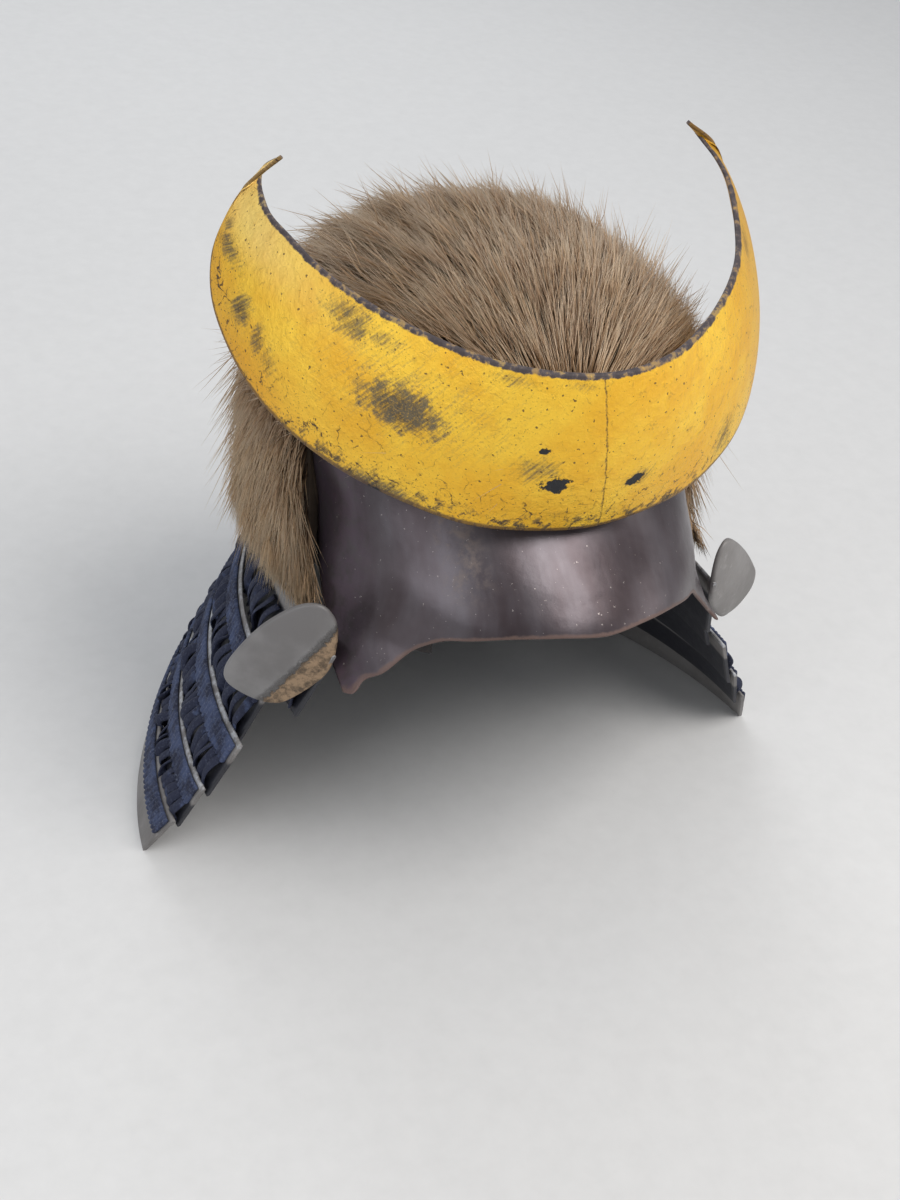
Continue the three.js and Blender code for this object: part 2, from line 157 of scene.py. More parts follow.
class Finish:
    """A material in the making."""

    def __init__(self, name):
        self.material = bpy.data.materials.new(name)
        self.material.use_nodes = True
        self.tree = self.material.node_tree
        self.shader = self.tree.nodes["Principled BSDF"]

    def node(self, kind, settings=None, inputs=None, output=0):
        """Adds any node: its settings first, then the values or links of its sockets."""
        made = self.tree.nodes.new(kind)
        for name, value in (settings or {}).items():
            setattr(made, name, value)
        for key, value in (inputs or {}).items():
            self.feed(made.inputs[key], value)
        return Field(self, made.outputs[output])

    def feed(self, socket, value):
        if isinstance(value, Field):
            self.tree.links.new(value.socket, socket)
        elif hasattr(value, "__len__") and len(value) == 3 and socket.type == "RGBA":
            socket.default_value = (*value, 1.0)
        else:
            socket.default_value = value

    def place(self):
        """Where a point is on the piece, in metres."""
        return self.node("ShaderNodeTexCoord", output="Object")

    def plan(self, name="Plan"):
        """Where a point is on the piece's own flat plan."""
        return self.node("ShaderNodeUVMap", {"uv_map": name})

    def axes(self, vector):
        split = self.tree.nodes.new("ShaderNodeSeparateXYZ")
        self.feed(split.inputs[0], vector)
        return [Field(self, socket) for socket in split.outputs]

    def vector(self, x=0.0, y=0.0, z=0.0):
        return self.node("ShaderNodeCombineXYZ", None, {0: x, 1: y, 2: z})

    def stretch(self, vector, scale):
        return self.node("ShaderNodeVectorMath", {"operation": "MULTIPLY"}, {0: vector, 1: scale})

    def shift(self, vector, offset, amount=1.0):
        """vector + offset * amount, where offset may be a pattern's colour."""
        scaled = self.node("ShaderNodeVectorMath", {"operation": "SCALE"}, {0: offset, "Scale": amount})
        return self.node("ShaderNodeVectorMath", {"operation": "ADD"}, {0: vector, 1: scaled})

    def noise(self, vector, scale, detail=4.0, rough=0.55, colour=False):
        inputs = {"Vector": vector, "Scale": scale, "Detail": detail, "Roughness": rough}
        return self.node("ShaderNodeTexNoise", None, inputs, "Color" if colour else 0)

    def cells(self, vector, scale, feature="F1", jitter=1.0):
        inputs = {"Vector": vector, "Scale": scale, "Randomness": jitter}
        return self.node("ShaderNodeTexVoronoi", {"feature": feature}, inputs, 0)

    def mix(self, share, first, second):
        """first where share is 0 and second where it is 1, as colours."""
        mixer = self.tree.nodes.new("ShaderNodeMix")
        mixer.data_type = "RGBA"
        for place, value in ((0, share), (6, first), (7, second)):
            self.feed(mixer.inputs[place], value)
        return Field(self, mixer.outputs[2])

    def bump(self, height, depth, under=None):
        """Relief of 'depth' metres for a height between 0 and 1."""
        inputs = {"Height": height, "Strength": 1.0, "Distance": depth}
        if under is not None:
            inputs["Normal"] = under
        return self.node("ShaderNodeBump", None, inputs)

    def done(self, **sockets):
        """Sets the shader's sockets, named with underscores for spaces."""
        for name, value in sockets.items():
            self.feed(self.shader.inputs[name.replace("_", " ")], value)
        return self.material


print("finish helpers ready")

# %% [markdown]
# ## The floor
# A studio floor is a wide sheet of pale paper. A flat plane would do; a faint grain keeps it from
# looking like nothing at all.

# %% Floor
FLOOR = {"level": -0.1505, "half": 12.0}


def floor_paper():
    paper = Finish("floor_paper")
    grain = paper.noise(paper.place(), 90.0, 3.0)
    tone = paper.mix(grain, (0.60, 0.60, 0.595), (0.66, 0.66, 0.655))
    return paper.done(Base_Color=tone, Roughness=0.85)


half = FLOOR["half"]
floor_mesh = bpy.data.meshes.new("studio_floor")
corners = [(-half, -half), (half, -half), (half, half), (-half, half)]
floor_mesh.from_pydata([(x, y, FLOOR["level"]) for x, y in corners], [], [(0, 1, 2, 3)])
floor = bpy.data.objects.new("studio_floor", floor_mesh)
bpy.context.scene.collection.objects.link(floor)
floor_mesh.materials.append(floor_paper())
print("floor at", FLOOR["level"])

# %% [markdown]
# ## Surfaces from arrays
# Each piece of the helmet is a bent sheet, so each is worked out as a grid of points: one row for
# every step across the sheet and one column for every step along it. The grid is computed as whole
# arrays, then handed to a mesh in one go.

# %% From arrays to a mesh
def lay_piece(name, points, faces, finish, stands_for=(), plans=None, flat_from=None):
    """Makes a piece from points (..., 3) in mm and a list of face arrays. plans are flat maps, each
    with two numbers for every point. Face arrays from number flat_from on are shaded flat."""
    corners = np.concatenate([group.reshape(-1) for group in faces]).astype(np.int32)
    sizes = np.concatenate([np.full(len(group), group.shape[1]) for group in faces])
    shades = [np.full(len(group), flat_from is None or i < flat_from) for i, group in enumerate(faces)]
    starts = np.concatenate([[0], np.cumsum(sizes)[:-1]])
    mesh = bpy.data.meshes.new(name)
    mesh.vertices.add(points.size // 3)
    mesh.vertices.foreach_set("co", (points * MM).astype(np.float32).ravel())
    mesh.loops.add(len(corners))
    mesh.loops.foreach_set("vertex_index", corners)
    mesh.polygons.add(len(sizes))
    mesh.polygons.foreach_set("loop_start", starts.astype(np.int32))
    mesh.polygons.foreach_set("use_smooth", np.concatenate(shades))
    mesh.update(calc_edges=True)
    for plan_name, values in (plans or {}).items():
        layer = mesh.uv_layers.new(name=plan_name)
        layer.data.foreach_set("uv", values.reshape(-1, 2)[corners].astype(np.float32).ravel())
    mesh.materials.append(finish)
    piece = bpy.data.objects.new(name, mesh)
    bpy.context.scene.collection.objects.link(piece)
    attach(piece, "root")
    if stands_for:
        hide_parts(*stands_for)
    return piece


def face_out(piece, weld=False):
    """Turns every face of a closed piece outwards, after joining points that coincide."""
    work = bmesh.new()
    work.from_mesh(piece.data)
    if weld:
        bmesh.ops.remove_doubles(work, verts=work.verts, dist=2e-6)
    bmesh.ops.recalc_face_normals(work, faces=work.faces)
    work.to_mesh(piece.data)
    work.free()
    return piece


def quads(rows, columns, ring_rows=False, ring_columns=False):
    """Corner numbers of the quads of a grid whose point (r, c) has number r * columns + c."""
    r = np.arange(rows if ring_rows else rows - 1)[:, None]
    c = np.arange(columns if ring_columns else columns - 1)[None, :]
    below, right = (r + 1) % rows, (c + 1) % columns
    return np.stack(np.broadcast_arrays(
        r * columns + c, r * columns + right, below * columns + right, below * columns + c
    ), -1).reshape(-1, 4)


def curve_through(at, places, values):
    """A smooth curve through values at rising places: cubic pieces whose slope at each place is the
    mean slope there. values may have several columns."""
    places, values = np.asarray(places, float), np.asarray(values, float)
    slopes = np.gradient(values, places, axis=0)
    at = np.asarray(at, float)
    low = np.clip(np.searchsorted(places, at, side="right") - 1, 0, len(places) - 2)
    run = places[low + 1] - places[low]
    t = (at - places[low]) / run
    if values.ndim > 1:
        t, run = t[..., None], run[..., None]
    start, end = values[low], values[low + 1]
    rise, fall = slopes[low] * run, slopes[low + 1] * run
    from_start = start * (2 * t**3 - 3 * t**2 + 1) + rise * (t**3 - 2 * t**2 + t)
    return from_start + end * (3 * t**2 - 2 * t**3) + fall * (t**3 - t**2)


def unit(vectors):
    return vectors / np.maximum(np.linalg.norm(vectors, axis=-1, keepdims=True), 1e-9)


ROLL = 5  # points round half of a sheet's rounded edge


def roll(near, far, before):
    """The points round a sheet's edge from near to far: a half circle that bulges away from before."""
    middle, reach = (near + far) / 2, (near - far) / 2
    size = np.linalg.norm(reach, axis=-1, keepdims=True)
    turn = (np.arange(1, 2 * ROLL) / (2 * ROLL) * math.pi)[:, None, None]
    return middle + np.cos(turn) * reach + np.sin(turn) * size * unit(near - before)


def rolled_strip(front, back):
    """Rows and faces of a sheet with rounded long edges and plain ends. front and back are
    (across, along, 3). Each column's section is a loop that starts in the middle of the first edge,
    so that the corners of an end face pair up from both ways round."""
    head = roll(back[0], front[0], back[1])
    foot = roll(front[-1], back[-1], front[-2])
    loop = np.concatenate([head[ROLL - 1:], front, foot, back[::-1], head[:ROLL - 1]])
    around, along = loop.shape[:2]
    side = np.arange(1, around // 2 - 1)
    cap = np.stack([side, side + 1, around - side - 1, around - side], -1) * along
    tips = np.array([[0, 1, around - 1], [around // 2 - 1, around // 2, around // 2 + 1]]) * along
    ends = [faces + last for last in (0, along - 1) for faces in (cap, tips)]
    return loop, [quads(around, along, ring_rows=True), *ends]


def round_both_ways(values):
    """A map of a strip's rows repeated for every row of its rolled loop."""
    foot, head = values[-1:], values[:1]
    rows = [np.repeat(head, ROLL, 0), values, np.repeat(foot, 2 * ROLL - 1, 0), values[::-1]]
    return np.concatenate([*rows, np.repeat(head, ROLL - 1, 0)])


def rolled_cap(front, back):
    """The same for a sheet whose first row is one point and whose columns close into a ring."""
    loop = np.concatenate([front, roll(front[-1], back[-1], front[-2]), back[::-1]])
    return loop, [quads(*loop.shape[:2], ring_columns=True)]


print("surface helpers ready")


# %% [markdown]
# ## The bowl
# The bowl is an iron shell over the head. It is nearly a box with very round corners, which one
# formula gives: powers of the cosine and sine. Little of it shows, because the pelt covers it.

# %% Bowl
def round_cos(angle, roundness):
    return np.sign(np.cos(angle)) * np.abs(np.cos(angle)) ** (2 / roundness)


def round_sin(angle, roundness):
    return np.sign(np.sin(angle)) * np.abs(np.sin(angle)) ** (2 / roundness)


def dark_iron():
    iron = Finish("dark_iron")
    cloud = iron.noise(iron.place(), 60.0, 5.0)
    grain = iron.noise(iron.place(), 900.0, 3.0)
    tone = iron.mix(cloud.step(0.35, 0.7), (0.020, 0.018, 0.019), (0.050, 0.043, 0.040))
    return iron.done(
        Base_Color=tone, Metallic=0.5, Roughness=cloud * 0.2 + 0.45, Normal=iron.bump(grain, 0.0003)
    )


IRON = dark_iron()
BOWL = {"half": 99.5, "reach": 109.5, "height": 148.0, "rim_z": 16.0, "round": 3.8, "wall": 2.2}


def bowl_points(around, up, inset):
    """A point for each angle round the head and each angle up from the rim."""
    spread = round_cos(up, BOWL["round"])
    return np.stack(np.broadcast_arrays(
        (BOWL["half"] - inset) * spread * np.sin(around),
        -(BOWL["reach"] - inset) * spread * np.cos(around),
        (BOWL["height"] - inset) * round_sin(up, BOWL["round"]),
    ), -1)


def bowl_sheet(inset):
    around = np.linspace(0, 2 * math.pi, 120, endpoint=False)[None, :]
    up = np.radians(np.concatenate([np.linspace(90, 2, 40), [0.0]]))[:, None]
    sheet = bowl_points(around, up, inset)
    sheet[0] = sheet[0].mean(axis=0)
    sheet[-1, :, 2] = BOWL["rim_z"]
    return sheet


loop, faces = rolled_cap(bowl_sheet(0.0), bowl_sheet(BOWL["wall"]))
face_out(lay_piece("bowl_shell", loop, faces, IRON, ["bowl"]), weld=True)
print("bowl faces:", len(faces[0]))

# %% [markdown]
# ## The neck guard's lames
# Five curved plates of lacquered iron hang below each other round the neck. In plan each is a
# horseshoe: a rounded back and straight cheeks. They could be cut from cones, but a real guard
# swells out and its cheeks turn in, so each plate runs between a head curve and a foot curve.

# %% Lames
GUARD = {"middle_y": -45.0, "wall": 2.0}
LAMES = {  # height, half-width, rear reach, front end, roundness of the back
    "neck_lame_1": {"head": (2, 109.5, 126, -86, 2.1), "foot": (-42, 122, 136, -73, 2.0)},
    "neck_lame_2": {"head": (-36, 128, 141, -54, 1.97), "foot": (-74, 143, 152, -48, 1.87)},
    "neck_lame_3": {"head": (-68, 146, 157, -59, 1.87), "foot": (-103, 160.5, 167, -52, 1.79)},
    "neck_lame_4": {"head": (-98, 163.5, 171, -53, 1.79), "foot": (-127, 174, 180, -45, 1.72)},
    "neck_lame_5": {"head": (-122, 177.5, 184, -47, 1.72), "foot": (-150, 190, 194, -30, 1.66)},
}


def lame_height(name):
    return LAMES[name]["head"][0] - LAMES[name]["foot"][0]


def guard_points(name, share, down, inset, shorter=0.0):
    """Points of one lame's outer face. share runs from the wearer's right front end (-1) round the
    back (0) to the left front end (1); down runs from the lame's head (0) to its foot (1)."""
    down = np.asarray(down, float)
    head, foot = LAMES[name]["head"], LAMES[name]["foot"]
    z, half, back, front, roundness = (a + (b - a) * down for a, b in zip(head, foot))
    half, reach = half - inset, back - GUARD["middle_y"] - inset
    quarter = 1.6 * (half + inset)
    along = np.abs(share) * (quarter + GUARD["middle_y"] - front - shorter)
    angle = math.pi / 2 * np.minimum(1, along / quarter)
    return np.stack(np.broadcast_arrays(
        np.sign(share) * half * round_sin(angle, roundness),
        GUARD["middle_y"] + reach * round_cos(angle, roundness) - np.maximum(0, along - quarter),
        z,
    ), -1)


def grey_lacquer(name="grey_lacquer", covered=None):
    """Grey lacquer on iron. covered is how far below the head the free cords hang over it; from there down
    the lacquer is painted near black as the cords' shade, and along the head it is paler in patches.
    """
    lacquer = Finish(name)
    place = lacquer.place()
    cloud = lacquer.noise(place, 22.0, 5.0, 0.6)
    dust = lacquer.noise(place, 160.0, 4.0, 0.7)
    tone = lacquer.mix(cloud.step(0.35, 0.65), (0.145, 0.135, 0.130), (0.215, 0.205, 0.200))
    tone = lacquer.mix(dust.step(0.55, 0.75) * 0.45, tone, (0.34, 0.33, 0.32))
    if covered:
        depth = lacquer.axes(lacquer.plan())[1]
        # Painted shade: near black where the free cords hang over the lame.
        tone = lacquer.mix(depth.step(covered - 1.5, covered + 1.5), tone, (0.016, 0.017, 0.024))
        tone = lacquer.mix(depth.step(1.6, 0.8) * dust.step(0.4, 0.6), tone, (0.40, 0.41, 0.43))
    return lacquer.done(
        Base_Color=tone, Metallic=0.1, Roughness=dust * 0.2 + 0.38, Normal=lacquer.bump(cloud, 0.0012)
    )


LACQUER = grey_lacquer()
# A copy of the lacquer with the cords' shade painted on, for the lames that the free cords hang over.
CORD_SHADED_LACQUER = grey_lacquer("lacquer_painted_cord_shade", covered=12.0)
SHARES = np.linspace(-1, 1, 161)[None, :]
DOWNS = np.linspace(0, 1, 7)[:, None]
for name in LAMES:
    sheets = [guard_points(name, SHARES, DOWNS, inset) for inset in (0.0, GUARD["wall"])]
    loop, faces = rolled_strip(*sheets)
    plan = np.stack(np.broadcast_arrays(SHARES, DOWNS * lame_height(name)), -1)
    finish = LACQUER if name == "neck_lame_5" else CORD_SHADED_LACQUER
    piece = lay_piece(
        name + "_plate", loop, faces, finish, [name],
        plans={"Plan": round_both_ways(plan)}, flat_from=1,
    )
    face_out(piece)
print("lames:", len(LAMES))

# %% [markdown]
# ## The turned-back ears
# The front ends of the first lame are turned back into two rounded ears. Each is drawn as an
# outline, distance out from the fold against height, then swelled a little like a shallow dish. A
# scaled disc would be shorter, but the two ears have their own uneven outlines.

# %% Ears
EAR = {"fold": (108.0, -86.0), "tip": (151.0, -62.0), "wall": 3.0, "dome": 3.0}
EAR_OUTLINE = [  # out from the fold, height on the wearer's right, height on the left
    (2, 22, 20), (9, 30, 25), (20, 28, 18), (34, 16, 5), (46, 0, -8), (53, -13, -18),
    (52, -22, -27), (41, -29, -32), (29, -31, -32), (20, -26, -29), (5, -9, -12), (1, 8, 6),
]


def ear_sheets(side):
    """Front and back of an ear as rings that spread from its centre to its outline."""
    rows = np.array(EAR_OUTLINE, float)[:, [0, 1 if side < 0 else 2]]
    wrapped = np.concatenate([rows[-3:], rows, rows[:3]])
    at = np.linspace(0, len(rows), 120, endpoint=False)
    outline = curve_through(at, np.arange(-3, len(rows) + 3), wrapped)
    centre = rows.mean(axis=0)
    spread = np.linspace(0, 1, 14)[:, None, None]
    flat = centre + (outline - centre) * spread
    (fold_x, fold_y), (tip_x, tip_y) = EAR["fold"], EAR["tip"]
    out = unit(np.array([side * (tip_x - fold_x), tip_y - fold_y, 0.0]))
    facing = np.array([side * out[1], -abs(out[0]), 0.0])
    place = np.array([side * fold_x, fold_y, 0.0]) + flat[..., :1] * out
    place[..., 2] = flat[..., 1]
    crown = EAR["dome"] * (1 - spread**2)
    return place + crown * facing, place + (crown - EAR["wall"]) * facing, flat


def torn_lacquer():
    """The right ear's finish: the grey skin has come away along its lower inner edge."""
    lacquer = Finish("torn_lacquer")
    place = lacquer.place()
    out, up, _ = lacquer.axes(lacquer.plan())
    cloud = lacquer.noise(place, 22.0, 5.0, 0.6)
    ragged = lacquer.noise(place, 220.0, 5.0, 0.7)
    inside = (out - 1.0) * 0.81 + (up - 8.0) * 0.58 + (ragged - 0.5) * 9.0
    torn = inside.step(5.5, 4.5)
    lip = (inside - 6.5).size().step(2.4, 0.4) * ragged.step(0.35, 0.55)
    tone = lacquer.mix(cloud.step(0.35, 0.65), (0.145, 0.138, 0.136), (0.215, 0.208, 0.206))
    tone = lacquer.mix(lip * 0.8, tone, (0.075, 0.070, 0.066))
    leather = lacquer.mix(ragged.step(0.35, 0.6), (0.10, 0.070, 0.045), (0.32, 0.22, 0.135))
    tone = lacquer.mix(torn, tone, leather)
    height = lip * 0.6 + (1.0 - torn) * 0.6 + ragged * torn * 0.5
    return lacquer.done(
        Base_Color=tone, Metallic=0.1, Roughness=torn * 0.35 + cloud * 0.15 + 0.38,
        Normal=lacquer.bump(height, 0.0016),
    )


for side, label in ((-1, "right"), (1, "left")):
    front, back, flat = ear_sheets(side)
    loop, faces = rolled_cap(front, back)
    plan = np.concatenate([flat, np.repeat(flat[-1:], 2 * ROLL - 1, axis=0), flat[::-1]])
    ear = lay_piece(
        "ear_" + label, loop, faces, torn_lacquer() if side < 0 else LACQUER,
        ["neck_lame_1"], plans={"Plan": plan},
    )
    face_out(ear, weld=True)
print("ears: 2")

# %% [markdown]
# ## The brow plate
# A deep plate of lacquered iron flares out from the front of the bowl, more in front than at the
# sides, and its lower edge arches over the eyes. It could be bent from a flat sheet with a modifier.
# A cone whose sections change with height is easier to fit to the solid below it.

# %% Brow plate
BROW_WALL = 2.2
BROW_LEVELS = [  # height, half-width, reach in front, degrees round to the side edge
    (-12, 115, 261, 68.5), (-4, 113, 208, 69.8), (5, 111.5, 186, 70.2), (15, 110, 166, 70.6),
    (31, 106, 160, 74.4), (43, 103, 156, 76.7), (57, 101, 143, 78), (80, 102, 116, 79),
    (92, 101.5, 108, 80),
]
BROW_EDGE = [  # share of the way from the middle to the pointed corner, height of the lower edge
    (0, 43), (0.18, 43.5), (0.35, 40), (0.455, 35), (0.55, 30),
    (0.62, 23), (0.7, 14), (0.88, -4), (0.96, -10), (1, -12),
]


def brow_sheet(inset):
    levels, edge = np.array(BROW_LEVELS, float), np.array(BROW_EDGE, float)
    across = np.linspace(-1, 1, 221)[None, :]
    down = np.linspace(0, 1, 40)[:, None]
    foot = curve_through(np.abs(across), edge[:, 0], edge[:, 1])
    z = 92 + (foot - 92) * down
    half, reach, spread = np.moveaxis(curve_through(z, levels[:, 0], levels[:, 1:]), -1, 0)
    around = np.radians(across * spread)
    place = np.stack([(half - inset) * np.sin(around), -(reach - inset) * np.cos(around), z], -1)
    return place, np.stack(np.broadcast_arrays(around * 105, z - foot), -1)


def brow_lacquer():
    lacquer = Finish("brow_lacquer")
    place = lacquer.place()
    across, up, _ = lacquer.axes(lacquer.plan())
    cloud = lacquer.noise(place, 14.0, 4.0, 0.55)
    scuff = lacquer.noise(place, 120.0, 5.0, 0.7)
    speck = lacquer.noise(place, 520.0, 2.0, 0.6)
    tone = lacquer.mix(cloud.step(0.35, 0.7), (0.040, 0.027, 0.030), (0.098, 0.080, 0.088))
    # Painted sheen: paler streaks that run up the plate, as a satin surface catches light.
    painted_sheen_streak = lacquer.noise(lacquer.vector(across * 0.035, up * 0.012), 1.0, 4.0, 0.6)
    tone = lacquer.mix(painted_sheen_streak.step(0.35, 0.75) * 0.5, tone, (0.150, 0.140, 0.155))
    dust = (across + 62.0).size().step(17.0, 3.0) * up.step(8.0, 30.0) * scuff.step(0.42, 0.7)
    dark = across.step(-100.0, -122.0) * scuff.step(0.35, 0.6)
    tone = lacquer.mix(dust * 0.55, tone, (0.24, 0.19, 0.16))
    tone = lacquer.mix(dark * 0.5, tone, (0.10, 0.065, 0.095))
    tone = lacquer.mix(speck.step(0.71, 0.75) * 0.6, tone, (0.40, 0.36, 0.34))
    edge = (up + (scuff - 0.5) * 3.0).step(1.5, 0.3)
    tone = lacquer.mix(edge * 0.7, tone, (0.17, 0.11, 0.09))
    return lacquer.done(
        Base_Color=tone, Metallic=0.6, Roughness=scuff * 0.16 + dust * 0.2 + edge * 0.2 + 0.25,
        Normal=lacquer.bump(cloud, 0.0012, lacquer.bump(scuff, 0.00012)),
    )


(outer, plan), (inner, _) = brow_sheet(0.0), brow_sheet(BROW_WALL)
loop, faces = rolled_strip(outer, inner)
brow = lay_piece(
    "brow_shell", loop, faces, brow_lacquer(), ["brow_plate"],
    plans={"Plan": round_both_ways(plan)}, flat_from=1,
)
face_out(brow)
print("brow plate faces:", len(faces[0]))

# %% [markdown]
# ## The crescent
# The front crest is a crescent of wood, lacquered and covered with gold leaf that age has rubbed
# through. It leans back and its horns sweep up round the pelt. It could be cut from a bowl, but its
# outline is what counts, so it is carried along two curves, its upper rim and its lower edge, with a
# shallow dome between them. The plan in millimetres lets the wear be placed one by one.

# %% Crescent
CREST = {"wall": 4.6, "edge_wall": 2.8, "dome": 4.5, "full_width": 80.0}
CREST_RIM = [
    (0, -128, 168), (29, -122, 169), (55, -106, 171), (78, -87, 177), (96, -66, 183), (109, -42, 189),
    (117, -21, 196), (121, -6, 200), (121, 5, 204), (119, 15, 208), (115, 20, 213), (108, 16, 219),
]
CREST_EDGE = [
    (0, -124, 85), (31, -121, 87), (60, -113, 91), (88, -98, 100), (110, -77, 108), (128, -52, 119),
    (139, -26, 133), (144, 0, 153), (142, 12, 173), (135, 15, 191), (125, 15, 207), (108, 16, 219),
]


def both_halves(curve, at):
    half = np.array(curve, float)
    whole = np.concatenate([half[:0:-1] * (-1, 1, 1), half])
    return curve_through(at, np.arange(1 - len(half), len(half)), whole)


def crest_sheets():
    """Gilded face and back of the crescent, and its plan: distance along from the middle and from
    the rim, then distance to the lower edge."""
    at = np.linspace(-10.96, 10.96, 301)
    rim, edge = both_halves(CREST_RIM, at), both_halves(CREST_EDGE, at)
    width, run = edge - rim, np.gradient(rim, axis=0)
    out = unit(np.cross(width, run))
    across = np.linspace(0, 1, 30)[:, None, None]
    crown = 4 * across * (1 - across)
    broad = np.linalg.norm(width, axis=-1, keepdims=True)
    share = np.minimum(1, broad / CREST["full_width"])
    thick = (CREST["edge_wall"] + (CREST["wall"] - CREST["edge_wall"]) * crown) * (0.45 + 0.55 * share)
    middle = rim + width * across + out * CREST["dome"] * share * crown
    line = (rim + edge) / 2
    along = np.concatenate([[0], np.cumsum(np.linalg.norm(np.diff(line, axis=0), axis=1))])
    along = (along - along[-1] / 2)[None, :, None]
    plan = np.concatenate(np.broadcast_arrays(along, broad * across), -1)
    to_edge = np.concatenate(np.broadcast_arrays(broad * (1 - across), broad * across), -1)
    return middle + out * thick / 2, middle - out * thick / 2, plan, to_edge


WORN_PATCHES = [  # along, from the rim, half length, half height, strength
    (-212, 25, 15, 6, 0.8), (-223, 20, 5, 5, 0.7), (-189, 41, 9, 8, 0.9), (-174, 46, 5, 9, 0.8),
    (-165, 51, 6, 8, 0.6), (-128, 9, 17, 9, 0.75), (-110, 10, 12, 6, 0.55), (-95, 35, 22, 12, 1.15),
    (-113, 33, 10, 5, 0.6), (-97, 22, 8, 5, 0.4), (-48, 5, 14, 4, 0.55), (-17, 4, 12, 3, 0.45),
    (-31, 46, 15, 9, 0.6), (17, 56, 10, 6, 0.6), (81, 66, 11, 12, 0.65),
    (149, 8, 14, 8, 0.6), (-104, 77, 24, 6, 0.9),
]
CHIPS = [(-23, 54, 8, 5), (-30, 36, 3, 2), (16, 57, 6, 3.5), (-104, 79, 6, 2)]
SEAM = {"from_rim": -7.0, "slope": 0.134}


def worn_gold():
    """Gold leaf: yellow in the middle, with painted shade that turns it amber towards the wearer's left
    horn and deeper orange low on the wearer's right, and a painted pale highlight high on the wearer's
    right horn; rubbed to dark lacquer in brushed patches, chipped, peppered and crazed towards the lower
    edge, and bare along the rim."""
    gold = Finish("worn_gold_leaf")
    place = gold.place()
    plan = gold.plan()
    along, across, _ = gold.axes(plan)
    to_edge = gold.axes(gold.plan("Edges"))[0]
    cloud = gold.noise(plan, 0.022, 5.0, 0.6)
    ragged = gold.noise(plan, 0.16, 5.0, 0.7)
    grain = gold.noise(plan, 0.9, 3.0, 0.6)
    slant = gold.vector(along * 0.75 + across * 0.6, (across - along) * 0.05)
    brushed = gold.noise(slant, 0.8, 2.0, 0.6)

    def within(row):
        off = gold.shift(plan, (-row[0], -row[1], 0.0))
        off = gold.stretch(off, (1 / row[2], 1 / row[3], 0.0))
        far = gold.node("ShaderNodeVectorMath", {"operation": "LENGTH"}, {0: off}, output=1)
        return (far + (ragged - 0.5) * 2.2).step(1.5, 0.1)

    patch = reduce(Field.most, [within(row) * row[4] for row in WORN_PATCHES])
    chip = reduce(Field.most, [within(row) for row in CHIPS]).step(0.45, 0.6)
    low = to_edge.step(34.0, 2.0)
    pepper = grain.step(0.60, 0.67) * (low * 0.8 + patch + cloud.step(0.45, 0.65) * 0.6).least(1.0)
    wander = gold.noise(plan, 0.12, 3.0, 0.6, True)
    crazing = gold.cells(gold.shift(plan, wander, 9.0), 0.085, "DISTANCE_TO_EDGE")
    cracks = crazing.step(0.03, 0.008) * ragged.step(0.46, 0.6) * (low + 0.25)
    seam = (along - across * SEAM["slope"] - SEAM["from_rim"] + (ragged - 0.5) * 3.0).size()
    cracks = cracks.most(seam.step(0.6, 0.2) * (0.35 + grain.step(0.4, 0.6) * 0.45)).least(1.0)
    smudge = to_edge.step(19.0, 1.0) * ragged.step(0.42, 0.62)
    smudge = smudge * along.step(-225.0, -120.0) * along.step(150.0, 30.0)
    patch = patch.most(smudge * 0.9)
    combed = within((-92, 27, 55, 26)) * brushed.step(0.46, 0.6) * grain.step(0.35, 0.6)
    flecks = gold.noise(plan, 0.42, 2.0, 0.5).step(0.675, 0.70)
    strokes = (brushed - 0.5) * 1.6 + (grain - 0.5) * 1.2
    worn = (patch + strokes * patch.power(0.5)).step(0.15, 1.0)
    worn = worn * (0.95 - grain.step(0.54, 0.62) * 0.4)
    rubbed = gold.noise(place, 210.0, 4.0, 0.65)
    rim = (across + (rubbed - 0.5) * 4.0).step(1.4, 0.5) * (0.75 + rubbed.step(0.6, 0.5) * 0.25)
    tone = gold.mix(cloud.step(0.35, 0.65), (0.80, 0.43, 0.022), (0.90, 0.57, 0.045))
    # Painted shade: deeper orange towards the lower edge on the wearer's right.
    tone = gold.mix(along.step(-60.0, -190.0) * low * 0.6, tone, (0.80, 0.38, 0.025))
    # Painted shade: darker amber towards the wearer's left horn.
    tone = gold.mix(along.step(60.0, 200.0) * 0.75, tone, (0.62, 0.32, 0.020))
    # Painted highlight: pale cream high on the wearer's right horn, near the rim.
    tone = gold.mix(along.step(-110.0, -215.0) * across.step(30.0, 8.0) * 0.6, tone, (0.86, 0.66, 0.24))
    tone = gold.mix(ragged.step(0.5, 0.75) * 0.35, tone, (0.62, 0.33, 0.03))
    lacquer = gold.mix(ragged.step(0.4, 0.65), (0.075, 0.068, 0.052), (0.026, 0.025, 0.023))
    tone = gold.mix(worn, tone, lacquer)
    tone = gold.mix(combed * 0.42, tone, (0.22, 0.16, 0.08))
    tone = gold.mix((pepper * 0.85).most(cracks).most(flecks * 0.85), tone, (0.075, 0.042, 0.02))
    tone = gold.mix((to_edge + (ragged - 0.5) * 4.0).step(2.0, 0.5) * 0.8, tone, (0.09, 0.05, 0.03))
    tone = gold.mix(chip, tone, (0.012, 0.013, 0.016))
    bare_rim = gold.mix(rubbed.step(0.4, 0.6), (0.045, 0.034, 0.036), (0.105, 0.085, 0.088))
    tone = gold.mix(rim, tone, bare_rim)
    bare = worn.most(chip).most(rim)
    height = 1.0 - (cracks * 0.6 + chip * 0.8).least(1.0) + grain * 0.15
    return gold.done(
        Base_Color=tone, Metallic=0.38 - bare * 0.3, Roughness=grain * 0.15 + bare * 0.2 + 0.36,
        Normal=gold.bump(height, 0.0005, gold.bump(ragged, 0.0012)),
    )


